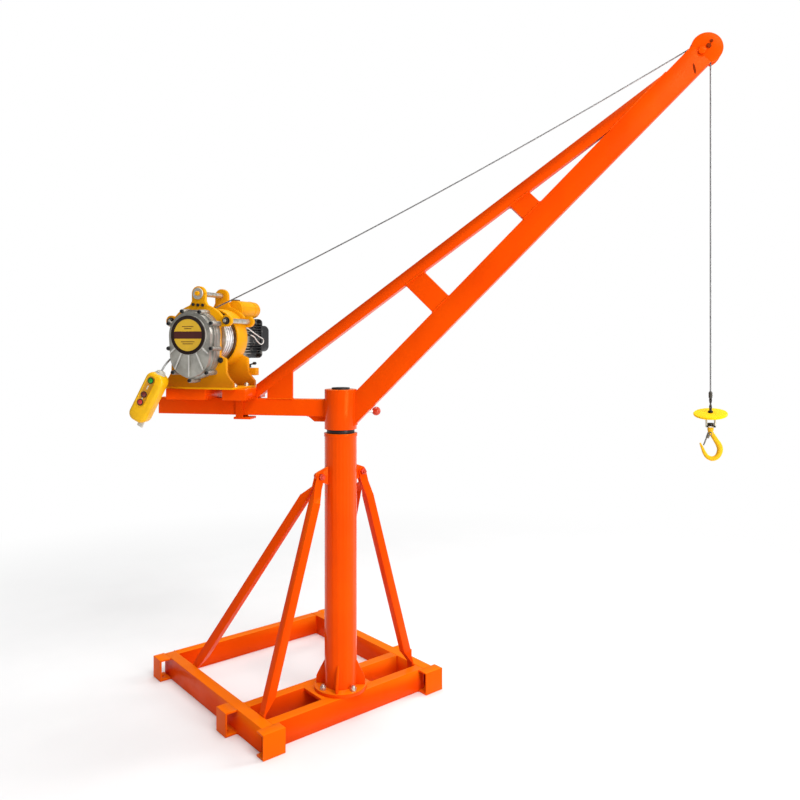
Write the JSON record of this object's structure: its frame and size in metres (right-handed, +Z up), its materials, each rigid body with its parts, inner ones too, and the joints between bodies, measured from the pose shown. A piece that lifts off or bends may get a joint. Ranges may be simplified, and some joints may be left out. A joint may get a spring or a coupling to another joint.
{
  "type": "mini construction crane",
  "caption": "Orange slewing roof crane: braced pipe mast on a tube base with channel feet, raised two-chord boom, electric rope winch on the back arm, and a swivel hook.",
  "frame": {"origin": "mast axis on the floor", "axes": "+X along the front beam, +Y from the front beam towards the back beam, +Z up"},
  "size_m": [1.4301, 1.6953, 2.2961],
  "materials": {
    "orange_paint": "gloss",
    "yellow_paint": "gloss",
    "hook_paint": "satin",
    "cast_aluminium": "satin",
    "motor_aluminium": "satin",
    "zinc": "satin",
    "rope": "satin",
    "black_steel": "satin",
    "black_plastic": "matte",
    "red_knob": "gloss",
    "pendant_yellow": "gloss",
    "buttons": "gloss",
    "lead": "matte"
  },
  "bodies": {
    "base": {"left_rail": "orange_paint", "right_rail": "orange_paint", "front_beam": "orange_paint", "middle_beam": "orange_paint", "back_beam": "orange_paint", "base_feet": "orange_paint", "mast_seat": "orange_paint", "mast": "orange_paint", "mast_head": "black_steel", "mast_bolts": "zinc", "front_struts": "orange_paint", "back_struts": "orange_paint"},
    "boom": {"slew_collar": "orange_paint", "lower_chord": "orange_paint", "upper_chord": "orange_paint", "boom_webs": "orange_paint", "back_arm": "orange_paint", "boom_gussets": "orange_paint", "head_cheeks": "orange_paint", "sheave_pin": "zinc", "slew_lock": "red_knob", "winch_platform": "orange_paint", "winch_plate": "yellow_paint", "front_bracket": "yellow_paint", "rear_bracket": "yellow_paint", "tie_rods": "zinc", "gear_housing": "cast_aluminium", "gear_cover": "cast_aluminium", "motor": "motor_aluminium", "motor_cap": "black_plastic", "capacitor_box": "yellow_paint", "limit_switch": "yellow_paint", "rope_run": "rope", "rope_fall": "rope", "pendant": "pendant_yellow", "pendant_buttons": "buttons", "pendant_lead": "lead"},
    "drum": {"drum": "zinc", "rope_winding": "rope"},
    "sheave": {"sheave": "zinc"},
    "hook_block": {"rope_end": "black_steel", "limiter_disc": "hook_paint", "hook_yoke": "hook_paint"},
    "hook": {"hook": "hook_paint"},
    "latch": {"hook_latch": "zinc"}
  },
  "joints": [
    {"name": "slew", "type": "hinge", "parent": "base", "child": "boom", "pos_m": [0, 0, 0.9933], "axis": [0, 0, 1], "continuous": true},
    {"name": "drum_spin", "type": "hinge", "parent": "boom", "child": "drum", "pos_m": [-0.29452, 0.3637, 1.3143], "axis": [0.8387, 0.5446, 0], "range_deg": [-544.15, 544.15]},
    {"name": "hook_hoist", "type": "slide", "parent": "boom", "child": "hook_block", "axis": [0, 0, 1], "range_m": [-0.851, 0.851], "deforming": ["rope_fall"]},
    {"name": "sheave_spin", "type": "hinge", "parent": "boom", "child": "sheave", "pos_m": [0.7596, -0.93803, 2.23753], "axis": [0.7771, 0.6293, 0], "range_deg": [-1625.4, 1625.4]},
    {"name": "hook_swivel", "type": "hinge", "parent": "hook_block", "child": "hook", "pos_m": [0.77848, -0.96134, 1.025], "axis": [0, 0, 1], "continuous": true},
    {"name": "latch", "type": "hinge", "parent": "hook", "child": "latch", "pos_m": [0.77733, -0.9597, 1.0047], "axis": [-0.8192, -0.5736, 0], "range_deg": [0, 35], "stiffness_Nm_per_rad": 0.05, "springref_deg": -20.05}
  ],
  "couplings": [
    {"joint": "hook_hoist", "follows": "drum_spin", "m_per_rad": -0.0895},
    {"joint": "sheave_spin", "follows": "drum_spin", "ratio": 2.9833}
  ]
}
